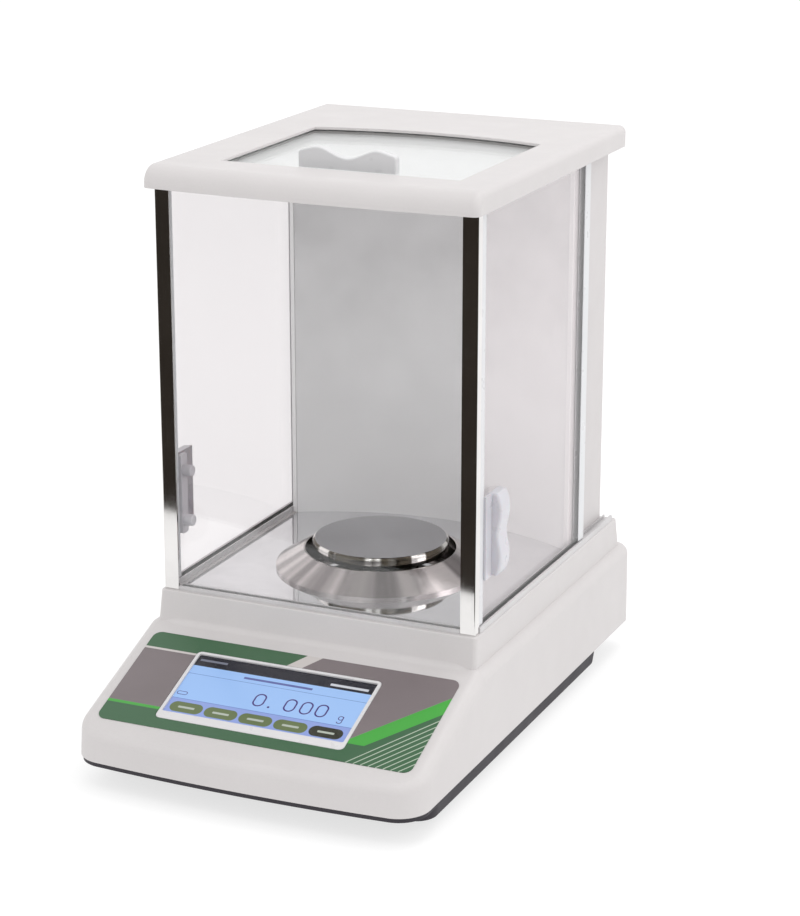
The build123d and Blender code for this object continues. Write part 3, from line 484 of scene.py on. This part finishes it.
anodised = (0.62, 0.605, 0.61)
finish(
    metal("rail_aluminium", anodised, 0.42, (1, 0.02, 1), metallic=0.2),
    *both("floor_rail"),
    *both("roof_rail"),
    *both("door_runner"),
)
finish(metal("channel_aluminium", anodised, 0.42, (0.02, 1, 1), metallic=0.2), "front_glass_channel")
finish(
    metal("post_steel", (0.80, 0.785, 0.775), 0.05, (1, 1, 0.02), depth=0.001 * mm, spread=0.02),
    "front_left_post",
    "front_right_post",
)
finish(
    metal("floor_steel", (0.74, 0.735, 0.75), 0.04, (0.05, 1, 1), depth=0.001 * mm, spread=0.015),
    "chamber_floor",
)
# Painted light: the back panel grows paler towards its foot.
back_steel_painted_light = metal("back_steel_painted_light", (0.84, 0.83, 0.835), 0.45, (0.03, 0.03, 1), depth=0.006 * mm, metallic=0.25)
repaint(back_steel_painted_light, 2, 0.26, 0.10, 0.75)
finish(back_steel_painted_light, "back_panel")

low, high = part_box("weighing_pan")
pan_centre = (low + high) / 2
satin_top = (0.43, 0.425, 0.44)
# The pan's and ring's dark and light streaks are painted reflections.
finish(
    spun("pan_steel", (0.10, 0.085, 0.065), (0.85, 0.83, 0.80), 0.08, pan_centre, 2.6, 0.04, satin_top),
    "weighing_pan",
)
finish(
    spun("ring_steel", (0.20, 0.18, 0.18), (0.70, 0.655, 0.645), 0.16, pan_centre, 1.9, 0.10),
    "draft_ring",
)

rubber = moulded("rubber_black", (0.02, 0.02, 0.022), 0.75, 500, 0.05 * mm)
finish(rubber, "front_feet", *both("foot_pad"))
finish(smooth_plastic("wheel_black", (0.03, 0.03, 0.032), 0.4), *both("foot_screw"))
finish(moulded("connector_black", (0.025, 0.025, 0.027), 0.4), "power_inlet", "level_housing")
finish(metal("zinc_screw", (0.62, 0.62, 0.64), 0.3), "base_screws")
finish(metal("insert_brass", (0.72, 0.56, 0.28), 0.3), "foot_inserts")
finish(metal("port_metal", (0.66, 0.66, 0.68), 0.28), "serial_port", "lcd_module")
finish(moulded("plate_dark", (0.06, 0.06, 0.065), 0.4), "connector_plate")
finish(
    metal("cell_metal", (0.75, 0.75, 0.76), 0.35, (0.05, 1, 1)),
    "cell_frame",
    "balance_lever",
    "load_hanger",
    "guide_plates",
)
finish(metal("magnet_metal", (0.4, 0.4, 0.42), 0.3), "magnet_pot")
finish(metal("coil_copper", (0.72, 0.36, 0.2), 0.35, (1, 1, 8)), "force_coil")
finish(metal("stem_steel", (0.66, 0.66, 0.67), 0.2), "pan_stem")
finish(circuit("main_circuit", "main_board", 7.7 * mm), "main_board")
finish(smooth_plastic("board_green", (0.015, 0.11, 0.045), 0.35), "display_board", "position_sensor")
finish(label_print(), "control_overlay")
finish(screen_print(), "display_window")
finish(smooth_plastic("vial_liquid", (0.6, 0.75, 0.2), 0.1), "level_vial")


# ---- small pieces that the CAD leaves out ----------------------------------------------------
def rod(name, start, end, radius, material, body, sides=24):
    """A straight rod between two points, riding on a body."""
    start, end = Vector(start), Vector(end)
    turn = (end - start).to_track_quat("Z", "Y")
    rims = []
    for point in (start, end):
        ring = [
            point + turn @ Vector((radius * math.cos(a), radius * math.sin(a), 0))
            for a in (2 * math.pi * i / sides for i in range(sides))
        ]
        rims.append(ring)
    faces = [[i, (i + 1) % sides, sides + (i + 1) % sides, sides + i] for i in range(sides)]
    faces += [list(range(sides))[::-1], list(range(sides, 2 * sides))]
    mesh = bpy.data.meshes.new(name)
    mesh.from_pydata(rims[0] + rims[1], [], faces)
    mesh.materials.append(material)
    piece = bpy.data.objects.new(name, mesh)
    bpy.context.scene.collection.objects.link(piece)
    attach(piece, body)
    return piece


contact = metal("contact_nickel", (0.68, 0.66, 0.62), 0.2)
low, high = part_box("power_inlet")
jack_x, jack_z = (low[0] + high[0]) / 2, (low[2] + high[2]) / 2
rod(
    "inlet_contact",
    (jack_x, high[1] - 9.4 * mm, jack_z),
    (jack_x, high[1] - 3.0 * mm, jack_z),
    0.95 * mm,
    contact,
    "base",
)


# ---- stage, light and camera -----------------------------------------------------------------
def plane(name, centre, size, tilt=(0, 0, 0)):
    """A flat rectangle of mesh."""
    x, y = size[0] / 2, size[1] / 2
    mesh = bpy.data.meshes.new(name)
    mesh.from_pydata([(-x, -y, 0), (x, -y, 0), (x, y, 0), (-x, y, 0)], [], [(0, 1, 2, 3)])
    piece = bpy.data.objects.new(name, mesh)
    piece.location = centre
    piece.rotation_euler = tilt
    bpy.context.scene.collection.objects.link(piece)
    return piece


floor = plane("floor", (0, 0, -0.2 * mm), (14, 14))
s = Surface("floor_paper")
s.set(
    base_color=(0.34, 0.34, 0.34),
    roughness=0.9,
    specular_ior_level=0.0,
    emission_color=(1, 1, 1),
    emission_strength=0.70,
)
floor.data.materials.append(s.material)

# The dark studio beyond the white sheet, seen only in polished parts of the balance.
dark_edge_y = -0.338
dark_edge_turn = math.atan(0.271)
card_depth = 3.0
card = plane(
    "dark_studio",
    (
        math.sin(dark_edge_turn) * card_depth / 2,
        dark_edge_y - math.cos(dark_edge_turn) * card_depth / 2,
        1 * mm,
    ),
    (8, card_depth),
    (0, 0, dark_edge_turn),
)
s = Surface("dark_cloth")
s.set(base_color=(0.026, 0.021, 0.017), roughness=1.0, specular_ior_level=0.0)
card.data.materials.append(s.material)
card.visible_camera = False
card.visible_shadow = False
card.visible_diffuse = False
card.visible_transmission = False


def softbox(name, place, size, power):
    """A rectangular area light aimed at the middle of the balance."""
    target = Vector((0, 0, 0.15))
    data = bpy.data.lights.new(name, "AREA")
    data.shape = "RECTANGLE"
    data.size, data.size_y = size
    data.energy = power
    lamp = bpy.data.objects.new(name, data)
    lamp.location = place
    lamp.rotation_euler = (target - Vector(place)).to_track_quat("-Z", "Y").to_euler()
    bpy.context.scene.collection.objects.link(lamp)


softbox("key_above", (0.5, 0.6, 2.2), (0.9, 0.9), 8)
softbox("front_above", (0.3, -0.9, 2.2), (0.9, 0.6), 4)
softbox("right_side", (2.0, 0.3, 1.2), (0.7, 1.4), 5)

world = bpy.data.worlds.new("studio")
world.use_nodes = True
background = world.node_tree.nodes["Background"]
background.inputs["Color"].default_value = (1, 1, 1, 1)
background.inputs["Strength"].default_value = 1.05
bpy.context.scene.world = world
bpy.context.scene.view_settings.view_transform = "Standard"

view_azimuth = math.radians(24.04)
view_elevation = math.radians(17.04)
view_distance = 1.475
view_target = Vector((0.0209, 0.0, 0.1582))
back = Vector(
    (
        math.sin(view_azimuth) * math.cos(view_elevation),
        -math.cos(view_azimuth) * math.cos(view_elevation),
        math.sin(view_elevation),
    )
)
camera = bpy.data.objects.new("camera", bpy.data.cameras.new("camera"))
camera.data.lens = 101.85
camera.data.sensor_width = 36
camera.data.clip_start = 0.05
camera.location = view_target + back * view_distance
camera.rotation_euler = back.to_track_quat("Z", "Y").to_euler()
bpy.context.scene.collection.objects.link(camera)
bpy.context.scene.camera = camera
